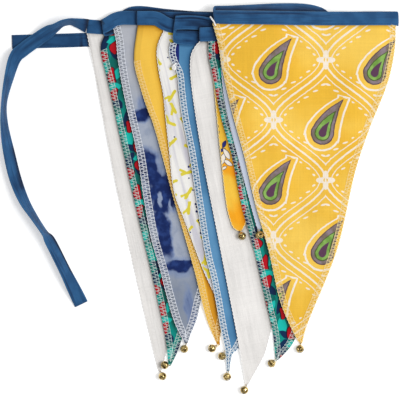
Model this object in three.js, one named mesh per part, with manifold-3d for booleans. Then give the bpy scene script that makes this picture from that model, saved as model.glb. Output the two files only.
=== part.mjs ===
// A folded fabric bunting, laid flat: one long binding tape goes to and fro over itself, and a
// triangular cloth flag with a small brass bell at its tip hangs from each pass of the tape.
// Millimetres, +Z up. The bunting lies on the plane z = 0, with its tape towards +Y.
import * as THREE from "three";
import { mergeVertices } from "three/addons/utils/BufferGeometryUtils.js";
import Module from "manifold-3d";

const wasm = await Module();
wasm.setup();

// Driving sizes.
const tape = { width: 12.6, thick: 1.5, pitch: 1.8 };
const cloth = { thick: 1.0, pitch: 1.3 };
const bell = { radius: 3.6, shoulder: 3.45, shankRadius: 0.8, sides: 10, rings: 6 };
const gap = 0.3;
const clothFall = 25;
const tipWidth = 2.4;
const turnRoom = 4;
const turns = { steps: 5, inset: 0.05, lap: 1 };
const crossing = { near: 2, far: 16 };
const curveSteps = { flag: 2, tie: 4 };
const prism = { bottom: -5, top: 60 };

// The middle of the laid-out bunting in the plan below; the finished group is centred on it.
const middle = { x: 0.1, y: -0.4 };

// The plan's grid: every layer bends on these same lines, so no layer can cut through another.
const gridX = range(-192, 192, 16);
const gridY = [...range(-180, 120, 20), ...range(127, 183, 8)];

const colours = {
  tape: 0x26588a,
  white: 0xe9e7e4,
  teal: 0x008c82,
  indigo: 0xafb4c3,
  mustard: 0xeebe46,
  lime: 0xe6e6c8,
  sky: 0x649bc8,
  lilac: 0xc8cde1,
  yellow: 0xf0c350,
  brass: 0x967832,
};

// The tape's passes from the bottom of the pile up, each as the middle line of its band in the
// plan. Odd passes run to the right and even ones back to the left.
const tieBackLine = [[177.5, 162.5], [113, 158], [0.5, 149], [-101, 144], [-168.5, 142]];
const passes = {
  a: [[-101, 156], [-85, 155], [60, 154]],
  b: [
    [60, 158], [4.8, 162.3], [-30, 165.3], [-54, 168], [-62, 166.8], [-69.5, 161.5], [-77, 155.5],
    [-85.5, 153],
  ],
  c: [[-85.5, 156], [-81, 158.5], [-76, 161.5], [-70, 163.3], [-60, 163.3], [-8, 163], [90.5, 160]],
  d: [[90.5, 160], [-54.5, 163]],
  e: [[-54.5, 163], [-38, 162.3], [-31.5, 158.5], [-25, 156], [117.5, 151]],
  g: [[117.5, 149], [-8.5, 145], [-21, 146.2]],
  h: [[-21, 158.5], [-10, 158.8], [2, 158], [13, 155.5], [30, 151.5], [152, 149]],
  i: [[152, 148], [1.6, 147.8]],
  j: [[1.6, 147.8], [157.5, 151]],
  k: [[157.5, 152], [121.5, 152.5], [107, 167], [15, 167.5]],
  l: [[15, 163.2], [50, 162.8], [100, 162.3], [140, 162.6], [177.5, 163]],
};

// One row a flag, bottom of the pile first. left and right hold its side edges from the tape
// down to the tip; bellAt is the middle of its bell.
const flags = [
  {
    pass: "a", name: "flag_a_white", colour: "white", tip: [-35.5, -154], bellAt: [-33, -158.5],
    left: [[-101, 151], [-72, 0], [-49, -103.5]],
    right: [[56.5, 148.5], [-29, -135]],
  },
  {
    pass: "b", name: "flag_b_teal", colour: "teal", tip: [-26.5, -148.5], bellAt: [-31, -148.5],
    left: [[-85, 149], [-88.5, 138.5], [-80.5, 99.5], [-58.5, 0], [-41.5, -71.5], [-30, -126]],
    right: [[56.5, 145.5], [-18.5, -133.5]],
  },
  {
    pass: "c", name: "flag_c_indigo", colour: "indigo", tip: [-11.8, -129], bellAt: [-13.5, -134],
    left: [
      [-77.3, 157], [-74.4, 143.8], [-73.1, 128.5], [-69.8, 107], [-65.6, 85.7], [-55.4, 40],
      [-49.4, 0], [-43.1, -34.4], [-34.9, -63], [-29, -86.6], [-21.9, -110.4],
    ],
    right: [[80, 155.5], [2.5, -87.5], [-2.2, -107], [-8, -121.5]],
  },
  {
    pass: "d", name: "flag_d_mustard", colour: "mustard", tip: [17.5, -130.5], bellAt: [11.5, -133.5],
    left: [
      [-55, 157], [-58.5, 125], [-52.6, 100.3], [-46.8, 82.6], [-41, 67.3], [-22.5, 0],
      [-4.4, -63], [7, -108],
    ],
    right: [[85, 155.5], [18.5, -124.5]],
  },
  {
    pass: "e", name: "flag_e_lime", colour: "lime", tip: [24.6, -133.5], bellAt: [20.5, -140.5],
    left: [
      [-31, 152], [-36.9, 139], [-38, 131], [-35.8, 113.4], [-32.4, 96.4], [-30.2, 75],
      [-26.5, 40], [-24.2, 17], [-21.3, 2.5], [-13.6, -17.3], [-5, -40.2], [3.7, -63],
      [16.8, -92.6], [21.2, -112.7],
    ],
    right: [[108.5, 149], [24, -124.5]],
  },
  {
    pass: "g", name: "flag_g_sky", colour: "sky", tip: [25.9, -154], bellAt: [25, -159],
    left: [
      [-25.5, 148], [-27, 140], [-25.7, 130.3], [-20.2, 115.5], [-18.1, 96.4], [-15.3, 75],
      [-8.5, 40], [-1.5, -6], [5.7, -49.7], [10.8, -69], [19.6, -116.3], [23.6, -135.4],
    ],
    right: [[112, 139.5], [36.3, -132.5], [30, -138.3], [28.4, -144.5]],
  },
  {
    pass: "h", name: "flag_h_white", colour: "white", tip: [42.5, -166.5], bellAt: [40.5, -171],
    left: [
      [3, 150], [2.2, 142], [-2.9, 136.6], [-6.6, 130.5], [-7.8, 124], [-7.4, 108.5], [1.5, 47.5],
      [19.5, -46], [36.5, -135],
    ],
    right: [[147, 143], [63.5, -121.5], [59, -138]],
  },
  {
    pass: "i", name: "flag_i_small_yellow", colour: "yellow", tip: [36.7, -28], bellAt: [38.5, -32.5],
    left: [[9.5, 145.5], [14, 94.5], [18.7, 45.7], [24.8, -6], [27.6, -17.3], [31, -25.4]],
    right: [[90.5, 145.5], [42, -20]],
  },
  {
    pass: "j", name: "flag_j_teal", colour: "teal", tip: [69.9, -143.8], bellAt: [65, -147],
    left: [
      [8.4, 144], [8.8, 128.3], [11, 117.7], [19.5, 75], [29.3, 40], [38.5, -6], [49.3, -45.2],
      [60, -92.6], [65.7, -116.3],
    ],
    right: [[153, 145.5], [86, -125.5], [76, -139]],
  },
  {
    pass: "k", name: "flag_k_small_lilac", colour: "lilac", tip: [53.5, -26.5], bellAt: [54, -31.5],
    left: [[17, 161], [19.5, 122], [23, 88], [45, 0]],
    right: [[101.5, 160], [60, -20]],
  },
  {
    pass: "l", name: "flag_l_yellow", colour: "yellow", tip: [91.2, -129], bellAt: [90.5, -134],
    left: [
      [12, 158], [17.2, 139], [20.6, 117.7], [30.4, 75], [40.1, 40], [50.9, -6], [62.4, -45.2],
      [73.4, -92.6], [85.3, -120.3],
    ],
    right: [
      [176.5, 157.5], [175.5, 134], [170, 107], [153.5, 65], [141.1, 28.6], [123.5, -46], [96, -115],
    ],
  },
];

// The front tie from the pile out to its free end: the middle line in the plan, and how far its
// band is turned up on edge there, in degrees.
const tieFront = [
  { x: -102.6, y: 156.6, turn: 20 },
  { x: -106.7, y: 157.8, turn: 43 },
  { x: -111.8, y: 159, turn: 57 },
  { x: -116.3, y: 159.7, turn: 66 },
  { x: -122.6, y: 158.3, turn: 66 },
  { x: -128.9, y: 154.4, turn: 55 },
  { x: -139, y: 148.5, turn: 18 },
  { x: -157.5, y: 135.5, turn: 0 },
  { x: -165.5, y: 127, turn: 30 },
  { x: -171, y: 109, turn: 52 },
  { x: -175.3, y: 86, turn: 71 },
  { x: -175.2, y: 69, turn: 62 },
  { x: -170.5, y: 40.5, turn: 38 },
  { x: -165.3, y: 19.2, turn: 34 },
  { x: -157.7, y: -0.2, turn: 46 },
  { x: -148.4, y: -15.5, turn: 62 },
  { x: -139, y: -29.5, turn: 66 },
  { x: -134, y: -37, turn: 42 },
  { x: -120, y: -65, turn: 38 },
  { x: -106, y: -94, turn: 0 },
];

// Numbers from first to last, a step apart.
function range(first, last, step) {
  const count = Math.floor((last - first) / step + 1e-6) + 1;
  return Array.from({ length: count }, (_, i) => first + i * step);
}

// Smooth step from 0 to 1.
function smooth(t) {
  const u = Math.min(1, Math.max(0, t));
  return u * u * (3 - 2 * u);
}

// A smooth curve through the given points, with a few steps between each two.
function curveThrough(points, steps) {
  const path = new THREE.CatmullRomCurve3(
    points.map(([x, y]) => new THREE.Vector3(x, y, 0)), false, "centripetal");
  return path.getPoints(steps * (points.length - 1)).map((p) => [p.x, p.y]);
}

// The place on an open line that is nearest to a point, and how far away it is.
function nearestOn(x, y, line) {
  let best = { far: Infinity };
  for (let i = 1; i < line.length; i++) {
    const [ax, ay] = line[i - 1];
    const [dx, dy] = [line[i][0] - ax, line[i][1] - ay];
    const t = Math.min(1, Math.max(0, ((x - ax) * dx + (y - ay) * dy) / (dx * dx + dy * dy)));
    const far = Math.hypot(x - ax - t * dx, y - ay - t * dy);
    if (far < best.far) best = { far, x: ax + t * dx, y: ay + t * dy };
  }
  return best;
}

// Whether a point is inside a closed outline, by counting the edges that a ray crosses.
function inside(x, y, outline) {
  let odd = false;
  outline.forEach(([bx, by], i) => {
    const [ax, ay] = outline[(i + outline.length - 1) % outline.length];
    if (ay > y !== by > y && x < ax + ((y - ay) / (by - ay)) * (bx - ax)) odd = !odd;
  });
  return odd;
}

// How far outside an outline a point is, 0 inside it.
function outside(x, y, outline) {
  return inside(x, y, outline) ? 0 : nearestOn(x, y, [...outline, outline[0]]).far;
}

// The band's outline: its middle line moved half a width to each side, square to the line.
function band(line, width) {
  const sides = [[], []];
  line.forEach(([x, y], i) => {
    const [px, py] = line[Math.max(0, i - 1)];
    const [qx, qy] = line[Math.min(line.length - 1, i + 1)];
    const length = Math.hypot(qx - px, qy - py);
    const [nx, ny] = [-(qy - py) / length, (qx - px) / length];
    sides[0].push([x + (nx * width) / 2, y + (ny * width) / 2]);
    sides[1].unshift([x - (nx * width) / 2, y - (ny * width) / 2]);
  });
  return [...sides[0], ...sides[1]];
}

// A line made longer by a few millimetres, straight on from both of its ends.
function longer(line, by) {
  const onward = ([x, y], [px, py]) => {
    const length = Math.hypot(x - px, y - py);
    return [x + ((x - px) * by) / length, y + ((y - py) * by) / length];
  };
  return [onward(line[0], line[1]), ...line, onward(line.at(-1), line.at(-2))];
}

// The stretch of a pass between two places along X, in order from left to right.
function stretch(line, fromX, toX) {
  const ordered = line[0][0] < line.at(-1)[0] ? line : [...line].reverse();
  const heightAt = (x) => {
    const i = Math.max(1, ordered.findIndex(([px]) => px >= x));
    const [[ax, ay], [bx, by]] = [ordered[i - 1], ordered[i]];
    return ay + ((x - ax) / (bx - ax)) * (by - ay);
  };
  const between = ordered.filter(([x]) => x > fromX + 1 && x < toX - 1);
  return [[fromX, heightAt(fromX)], ...between, [toX, heightAt(toX)]];
}

// A flag's outline in the plan, from under its tape down both sides to a blunt tip.
function flagOutline(flag, line) {
  const [tipX, tipY] = flag.tip;
  const left = curveThrough([...flag.left, [tipX - tipWidth / 2, tipY]], curveSteps.flag);
  const right = curveThrough([...flag.right, [tipX + tipWidth / 2, tipY]], curveSteps.flag);
  const top = stretch(line, left[0][0], right[0][0]);
  return [...top.reverse(), ...left.slice(1), ...right.slice(1).reverse()];
}

// The layers from the floor up: the tie that runs under everything, then each pass with its flag.
const tieBackBand = band(tieBackLine, tape.width);
const layers = [{ name: "tie_back", line: tieBackLine, bands: [tieBackBand], sheets: [] }];
for (const flag of flags) {
  const line = passes[flag.pass];
  const outline = flagOutline(flag, line);
  layers.push({ name: flag.name, flag, line, bands: [band(line, tape.width)], sheets: [outline] });
}

// How much a layer lifts what lies over it at each grid point: all of its pitch where a cell
// round that point touches it, then less and less outside its edge.
function liftOf(layer) {
  const away = (x, y, shapes) => Math.min(Infinity, ...shapes.map((s) => outside(x, y, s)));
  const cover = (i, j, shapes) => {
    for (const ci of [i - 1, i])
      for (const cj of [j - 1, j]) {
        if (ci < 0 || cj < 0 || ci > gridX.length - 2 || cj > gridY.length - 2) continue;
        const [w, h] = [gridX[ci + 1] - gridX[ci], gridY[cj + 1] - gridY[cj]];
        const reach = Math.hypot(w, h) / 2;
        if (away(gridX[ci] + w / 2, gridY[cj] + h / 2, shapes) < reach) return 1;
      }
    return 1 - smooth(away(gridX[i], gridY[j], shapes) / clothFall);
  };
  return gridX.map((_, i) =>
    gridY.map((_, j) =>
      Math.max(tape.pitch * cover(i, j, layer.bands), cloth.pitch * cover(i, j, layer.sheets))));
}

// The height of each layer's lower face at each grid point: the sum of the lifts under it.
let sum = gridX.map(() => gridY.map(() => 0));
for (const layer of layers) {
  layer.floor = sum;
  const lift = liftOf(layer);
  sum = sum.map((column, i) => column.map((z, j) => z + lift[i][j]));
}
const layerNamed = (name) => layers.find((layer) => layer.name === name);

// The height of a layer's lower face anywhere, on the grid's own triangles.
function heightOf(layer, x, y) {
  const i = Math.min(gridX.length - 2, Math.max(0, gridX.findIndex((g) => g > x) - 1));
  const j = Math.min(gridY.length - 2, Math.max(0, gridY.findIndex((g) => g > y) - 1));
  const u = (x - gridX[i]) / (gridX[i + 1] - gridX[i]);
  const v = (y - gridY[j]) / (gridY[j + 1] - gridY[j]);
  const z = layer.floor;
  return u > v
    ? z[i][j] + u * (z[i + 1][j] - z[i][j]) + v * (z[i + 1][j + 1] - z[i + 1][j])
    : z[i][j] + v * (z[i][j + 1] - z[i][j]) + u * (z[i + 1][j + 1] - z[i][j + 1]);
}

// A closed mesh as a solid that can be joined and cut.
function solid(geometry) {
  geometry.deleteAttribute("normal");
  geometry.deleteAttribute("uv");
  const merged = mergeVertices(geometry, 1e-4);
  return new wasm.Manifold(new wasm.Mesh({
    numProp: 3,
    vertProperties: merged.attributes.position.array,
    triVerts: new Uint32Array(merged.index.array),
  }));
}

// A geometry from points and triangles.
function geometryOf(points, triangles) {
  const geometry = new THREE.BufferGeometry();
  geometry.setAttribute("position", new THREE.BufferAttribute(new Float32Array(points.flat()), 3));
  geometry.setIndex(triangles.flat());
  return geometry;
}

// A closed body from a grid of rings: each row is a closed ring, joined to the next, with both
// end rings filled by a fan.
function ringBody(rows) {
  const around = rows[0].length;
  const triangles = [];
  for (let r = 1; r < rows.length; r++)
    for (let k = 0; k < around; k++) {
      const [a, b] = [(r - 1) * around + k, (r - 1) * around + ((k + 1) % around)];
      triangles.push([a, b, b + around], [a, b + around, a + around]);
    }
  const last = (rows.length - 1) * around;
  for (let k = 1; k < around - 1; k++) {
    triangles.push([0, k + 1, k], [last, last + k, last + k + 1]);
  }
  const made = solid(geometryOf(rows.flat(), triangles));
  if (made.volume() > 0) return made;
  return solid(geometryOf(rows.flat(), triangles.map(([a, b, c]) => [a, c, b])));
}

// A layer of cloth over part of the grid: the layer's lower face and the same face moved up.
function slab(layer, thick, outline) {
  const reach = (values, lines) => {
    const from = lines.findLastIndex((g) => g < Math.min(...values) - gap);
    const to = lines.findIndex((g) => g > Math.max(...values) + gap);
    return [Math.max(0, from), to < 0 ? lines.length - 1 : to];
  };
  const [i0, i1] = reach(outline.map(([x]) => x), gridX);
  const [j0, j1] = reach(outline.map(([, y]) => y), gridY);
  const [across, along] = [i1 - i0 + 1, j1 - j0 + 1];
  const points = [];
  for (const rise of [0, thick])
    for (let i = i0; i <= i1; i++)
      for (let j = j0; j <= j1; j++) points.push([gridX[i], gridY[j], layer.floor[i][j] + rise]);
  const at = (i, j, top) => top * across * along + i * along + j;
  const triangles = [];
  for (let i = 0; i < across - 1; i++)
    for (let j = 0; j < along - 1; j++)
      for (const top of [0, 1]) {
        const [a, b] = [at(i, j, top), at(i + 1, j, top)];
        const [c, d] = [at(i + 1, j + 1, top), at(i, j + 1, top)];
        triangles.push(...(top ? [[a, b, c], [a, c, d]] : [[a, c, b], [a, d, c]]));
      }
  const wall = (p, q) => triangles.push([p(0), q(0), q(1)], [p(0), q(1), p(1)]);
  for (let i = 0; i < across - 1; i++) {
    wall((t) => at(i, 0, t), (t) => at(i + 1, 0, t));
    wall((t) => at(i + 1, along - 1, t), (t) => at(i, along - 1, t));
  }
  for (let j = 0; j < along - 1; j++) {
    wall((t) => at(across - 1, j, t), (t) => at(across - 1, j + 1, t));
    wall((t) => at(0, j + 1, t), (t) => at(0, j, t));
  }
  return solid(geometryOf(points, triangles));
}

// An upright block with the given outline, tall enough to cut any layer.
function block(outline) {
  const shape = new THREE.Shape(outline.map(([x, y]) => new THREE.Vector2(x, y)));
  const geometry = new THREE.ExtrudeGeometry(shape, {
    depth: prism.top - prism.bottom, bevelEnabled: false, steps: 1 });
  return solid(geometry.translate(0, 0, prism.bottom));
}

// The turn at a pass's end: half a ring from the lower pass round to the upper one, which may
// lie a little nearer or further in the plan. side is 1 at the right and -1 at the left. It is
// a hair narrower and thinner than the passes and laps into both, so that all is one body.
function turn(lower, upper, x, side) {
  const half = tape.width / 2 - turns.inset;
  const spread = [-half, -half / 3, half / 3, half];
  const thick = tape.thick - 2 * turns.inset;
  const middleOf = (layer) => layer.line.reduce((best, point) =>
    Math.abs(point[0] - x) < Math.abs(best[0] - x) ? point : best)[1];
  const [y0, y1] = [middleOf(lower), middleOf(upper)];
  const section = (angle, inset) => {
    const share = (1 - Math.cos(angle)) / 2;
    const ring = [];
    for (const face of [-1, 1])
      for (const dy of face < 0 ? spread : [...spread].reverse()) {
        const [ya, yb] = [y0 + dy, y1 + dy];
        const [za, zb] = [heightOf(lower, x, ya), heightOf(upper, x, yb)];
        const radius = (zb - za) / 2;
        const out = radius - (face * thick) / 2;
        ring.push([
          x + side * (Math.sin(angle) * out - inset),
          ya + share * (yb - ya),
          (za + zb) / 2 + tape.thick / 2 - Math.cos(angle) * out,
        ]);
      }
    return ring;
  };
  const rows = [section(0, turns.lap)];
  for (let k = 0; k <= turns.steps; k++) rows.push(section((Math.PI * k) / turns.steps, 0));
  rows.push(section(Math.PI, turns.lap));
  return ringBody(rows);
}

const group = new THREE.Group();
group.position.set(-middle.x, -middle.y, 0);

// Adds a finished body to the bunting under its name.
function add(name, body, colour, metal = 0) {
  const mesh = body.getMesh();
  const points = [];
  for (let v = 0; v < mesh.numVert; v++) {
    const at = v * mesh.numProp;
    points.push([...mesh.vertProperties.slice(at, at + 3)]);
  }
  const geometry = geometryOf(points, [[...mesh.triVerts]]);
  geometry.computeVertexNormals();
  const material = new THREE.MeshStandardMaterial({
    color: colours[colour], roughness: metal ? 0.35 : 0.9, metalness: metal });
  const made = new THREE.Mesh(geometry, material);
  made.name = name;
  group.add(made);
}

// Each flag is its layer of cloth cut to its outline, and ends just below its own tape.
for (const flag of flags) {
  const layer = layerNamed(flag.name);
  const [outline] = layer.sheets;
  const room = block(band(longer(layer.line, turnRoom), tape.width + 2 * gap));
  const body = slab(layer, cloth.thick, outline).intersect(block(outline)).subtract(room);
  add(flag.name, body, flag.colour);
}

// The binding: every pass of the tape, with a turn at each end that joins it to the next.
const [tieBack] = layers;
const taped = layers.filter((layer) => layer.flag);
let binding = null;
taped.forEach((layer, n) => {
  const outline = band(layer.line, tape.width);
  const pass = slab(layer, tape.thick, outline).intersect(block(outline));
  binding = binding ? binding.add(pass) : pass;
  if (n > 0) {
    const side = n % 2 ? 1 : -1;
    binding = binding.add(turn(taped[n - 1], layer, layer.line[0][0], side));
  }
});
const lastTurnX = tieBackLine[0][0];
binding = binding.add(turn(tieBack, taped.at(-1), lastTurnX, 1));
add("binding", binding, "tape");

// The tie under the pile starts just short of the last turn and ends free on the left.
const backX = lastTurnX - turns.lap - gap;
const [firstY, lastY] = [gridY[0], gridY.at(-1)];
const leftOfTurn = block([[gridX[0], firstY], [backX, firstY], [backX, lastY], [gridX[0], lastY]]);
const backBody = slab(tieBack, tape.thick, tieBackBand).intersect(block(tieBackBand));
add("tie_back", backBody.intersect(leftOfTurn), "tape");

// The front tie: its flat band follows the middle line, turned about that line where it stands
// up on edge, and it passes over the other tie.
function frontTie() {
  const turned = new THREE.CatmullRomCurve3(
    tieFront.map(({ turn: degrees }, i) => new THREE.Vector3(i, degrees, 0)), false, "centripetal");
  const line = curveThrough(tieFront.map(({ x, y }) => [x, y]), curveSteps.tie);
  const steps = line.length - 1;
  const groundAt = (x, y) => {
    const away = nearestOn(x, y, tieBackLine).far - tape.width / 2;
    const outwards = (away - crossing.near) / (crossing.far - crossing.near);
    return (tape.pitch + gap) * (1 - smooth(outwards));
  };
  const rows = line.map(([x, y], i) => {
    const [px, py] = line[Math.max(0, i - 1)];
    const [qx, qy] = line[Math.min(steps, i + 1)];
    const length = Math.hypot(qx - px, qy - py);
    const [nx, ny] = [(qy - py) / length, -(qx - px) / length];
    const angle = THREE.MathUtils.degToRad(Math.max(0, turned.getPoint(i / steps).y));
    const [c, s] = [Math.cos(angle), Math.sin(angle)];
    const half = [tape.width / 2, tape.thick / 2];
    const ground = Math.max(...[-1, 0, 1].map((k) =>
      groundAt(x + k * nx * half[0] * c, y + k * ny * half[0] * c)));
    const height = ground + half[0] * s + half[1] * c;
    return [[-1, -1], [1, -1], [1, 1], [-1, 1]].map(([u, v]) => {
      const across = u * half[0] * c - v * half[1] * s;
      return [x + nx * across, y + ny * across, height + u * half[0] * s + v * half[1] * c];
    });
  });
  return ringBody(rows);
}
add("tie_front", frontTie(), "tape");

// A bell lies on the highest cloth under it. Its shank points at the nearest edge of the flag's
// tip and stops just short of it.
function bellBody(flag) {
  const [x, y] = flag.bellAt;
  const layer = layerNamed(flag.name);
  const order = layers.indexOf(layer);
  const under = layers.slice(1, order).filter((lower) =>
    lower.sheets.some((sheet) => outside(x, y, sheet) < bell.radius / 2));
  const rest = Math.max(0, ...under.map((lower) => heightOf(lower, x, y) + cloth.pitch));
  const centre = new THREE.Vector3(x, y, rest + bell.radius);
  const edge = nearestOn(x, y, layer.sheets[0]);
  const edgeZ = heightOf(layer, edge.x, edge.y) + cloth.thick / 2;
  const toTip = new THREE.Vector3(edge.x, edge.y, edgeZ).sub(centre);
  const long = Math.max(bell.radius, toTip.length() - 2 * gap);
  const profile = [[0, -bell.radius]];
  for (let k = 1; k < bell.rings; k++) {
    const angle = -Math.PI / 2 + (Math.PI * k) / bell.rings;
    profile.push([bell.radius * Math.cos(angle), bell.radius * Math.sin(angle)]);
  }
  profile.push([bell.shankRadius, bell.shoulder], [bell.shankRadius, long], [0, long]);
  const points = profile.map(([r, h]) => new THREE.Vector2(r, h));
  const geometry = new THREE.LatheGeometry(points, bell.sides);
  const upright = new THREE.Vector3(0, 1, 0);
  geometry.applyQuaternion(new THREE.Quaternion().setFromUnitVectors(upright, toTip.normalize()));
  geometry.translate(centre.x, centre.y, centre.z);
  return solid(geometry);
}
for (const flag of flags) add("bell_" + flag.pass, bellBody(flag), "brass", 1);

export default group;
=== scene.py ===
import math
import bpy
import numpy as np
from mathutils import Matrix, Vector


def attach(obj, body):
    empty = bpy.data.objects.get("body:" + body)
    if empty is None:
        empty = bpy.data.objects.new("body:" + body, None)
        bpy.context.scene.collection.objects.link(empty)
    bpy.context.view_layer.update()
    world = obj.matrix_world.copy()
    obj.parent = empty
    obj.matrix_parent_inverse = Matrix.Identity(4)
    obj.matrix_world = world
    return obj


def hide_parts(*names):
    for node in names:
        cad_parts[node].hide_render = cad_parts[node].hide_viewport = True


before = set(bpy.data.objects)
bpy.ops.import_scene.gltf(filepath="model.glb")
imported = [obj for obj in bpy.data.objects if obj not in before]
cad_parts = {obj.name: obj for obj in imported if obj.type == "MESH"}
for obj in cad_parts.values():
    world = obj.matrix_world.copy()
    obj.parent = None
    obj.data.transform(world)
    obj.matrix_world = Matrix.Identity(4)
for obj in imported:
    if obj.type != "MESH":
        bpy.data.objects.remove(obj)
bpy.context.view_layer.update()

# All lengths in the tables are millimetres on the plan of the laid-out bunting. thick is a layer's
# own thickness, pitch what it adds to the pile, and seat its middle over what it lies on.
mm = 0.001
planMiddle = np.array([0.1, -0.4])      # this place of the plan is the frame's own middle

tape = {"width": 12.6, "thick": 1.25, "pitch": 1.8, "seat": 0.75, "step": 2.5, "round": 40,
        "stitchIn": 1.5, "stitchPitch": 2.6, "weave": 0.55, "turnOut": 2.2, "turnRun": 3}
cloth = {"thick": 0.42, "pitch": 1.3, "seat": 0.5, "fall": 24.0, "tipWidth": 2.4, "weave": 0.7,
         "wave": 0.28, "waveReach": 5}
overlock = {"width": 5.6, "pitch": 3.3, "lift": 0.3, "sides": 4, "wide": {"c": 6.4},
            "start": {"b": 0.045, "d": 0.11}, "loose": 0.5}
# Half the thickness of each flag's sewing thread.
threadSize = {"a": 0.24, "b": 0.22, "c": 0.37, "d": 0.32, "e": 0.22, "g": 0.38, "h": 0.26,
              "i": 0.25, "j": 0.21, "k": 0.2, "l": 0.32}
chainOnly = "aehik"    # flags whose thread matches them, so that only its edge chain shows
bell = {"radius": 3.72, "wall": 0.3, "slit": 0.42, "hole": 0.75, "shank": 0.55, "ring": 1.15,
        "seam": 0.26, "thread": 0.22, "over": 0.8}


# Numbers and curves

# A smooth step: 3t^2 - 2t^3 between 0 and 1.
def smooth(t):
    t = np.clip(t, 0, 1)
    return t * t * (3 - 2 * t)


# A curve through the points: between two of them, the centripetal Catmull-Rom blend of four.
def curveThrough(points, steps):
    p = np.array(points, float)
    p = np.vstack([2 * p[0] - p[1], p, 2 * p[-1] - p[-2]])
    out = []
    for i in range(1, len(p) - 2):
        a, b, c, d = p[i - 1 : i + 3]
        t1 = np.linalg.norm(b - a) ** 0.5
        t2 = t1 + np.linalg.norm(c - b) ** 0.5
        t3 = t2 + np.linalg.norm(d - c) ** 0.5
        t = np.linspace(t1, t2, steps, endpoint=False)[:, None]
        ab = (t1 - t) / t1 * a + t / t1 * b
        bc = (t2 - t) / (t2 - t1) * b + (t - t1) / (t2 - t1) * c
        cd = (t3 - t) / (t3 - t2) * c + (t - t2) / (t3 - t2) * d
        abc = (t2 - t) / t2 * ab + t / t2 * bc
        bcd = (t3 - t) / (t3 - t1) * bc + (t - t1) / (t3 - t1) * cd
        out.append((t2 - t) / (t2 - t1) * abc + (t - t1) / (t2 - t1) * bcd)
    return np.vstack([*out, p[-2:-1]])


# The length along a line up to each of its points: the steps between them added up.
def along(line):
    return np.concatenate([[0], np.cumsum(np.linalg.norm(np.diff(line, axis=0), axis=1))])


# The places at given shares of a line's whole length.
def atShares(line, shares):
    s = along(line)
    return np.stack([np.interp(shares * s[-1], s, line[:, k]) for k in range(line.shape[1])], 1)


# How far each point is outside a closed outline: its distance to the nearest edge, 0 inside.
def outside(x, y, outline):
    far = np.full(np.shape(x), np.inf)
    odd = np.zeros(np.shape(x), bool)
    for a, b in zip(outline, np.roll(outline, -1, axis=0)):
        d = b - a
        t = np.clip(((x - a[0]) * d[0] + (y - a[1]) * d[1]) / max(d @ d, 1e-9), 0, 1)
        far = np.minimum(far, np.hypot(x - a[0] - t * d[0], y - a[1] - t * d[1]))
        if a[1] != b[1]:
            odd ^= ((a[1] > y) != (b[1] > y)) & (x < a[0] + (y - a[1]) / d[1] * d[0])
    return np.where(odd, 0, far)


# A band's outline: its middle line moved half a width to each side.
def bandOf(line, width):
    line = np.array(line, float)
    d = np.gradient(line, axis=0)
    n = np.stack([-d[:, 1], d[:, 0]], 1) / np.linalg.norm(d, axis=1)[:, None]
    return np.vstack([line + n * width / 2, (line - n * width / 2)[::-1]])


# The laid-out bunting: the tape's passes from the floor up, then the flags on them

tieBackLine = [[177.5, 162.5], [113, 158], [0.5, 149], [-101, 144], [-168.5, 142]]
passes = {
    "a": [[-101, 156], [-85, 155], [60, 154]],
    "b": [[60, 158], [4.8, 162.3], [-30, 165.3], [-54, 168], [-62, 166.8], [-69.5, 161.5],
          [-77, 155.5], [-85.5, 153]],
    "c": [[-85.5, 156], [-81, 158.5], [-76, 161.5], [-70, 163.3], [-60, 163.3], [-8, 163], [90.5, 160]],
    "d": [[90.5, 160], [-54.5, 163]],
    "e": [[-54.5, 163], [-38, 162.3], [-31.5, 158.5], [-25, 156], [117.5, 151]],
    "g": [[117.5, 149], [-8.5, 145], [-21, 146.2]],
    "h": [[-21, 158.5], [-10, 158.8], [2, 158], [13, 155.5], [30, 151.5], [152, 149]],
    "i": [[152, 148], [1.6, 147.8]],
    "j": [[1.6, 147.8], [157.5, 151]],
    "k": [[157.5, 152], [121.5, 152.5], [107, 167], [15, 167.5]],
    "l": [[15, 163.2], [50, 162.8], [100, 162.3], [140, 162.6], [177.5, 163]],
}

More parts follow.
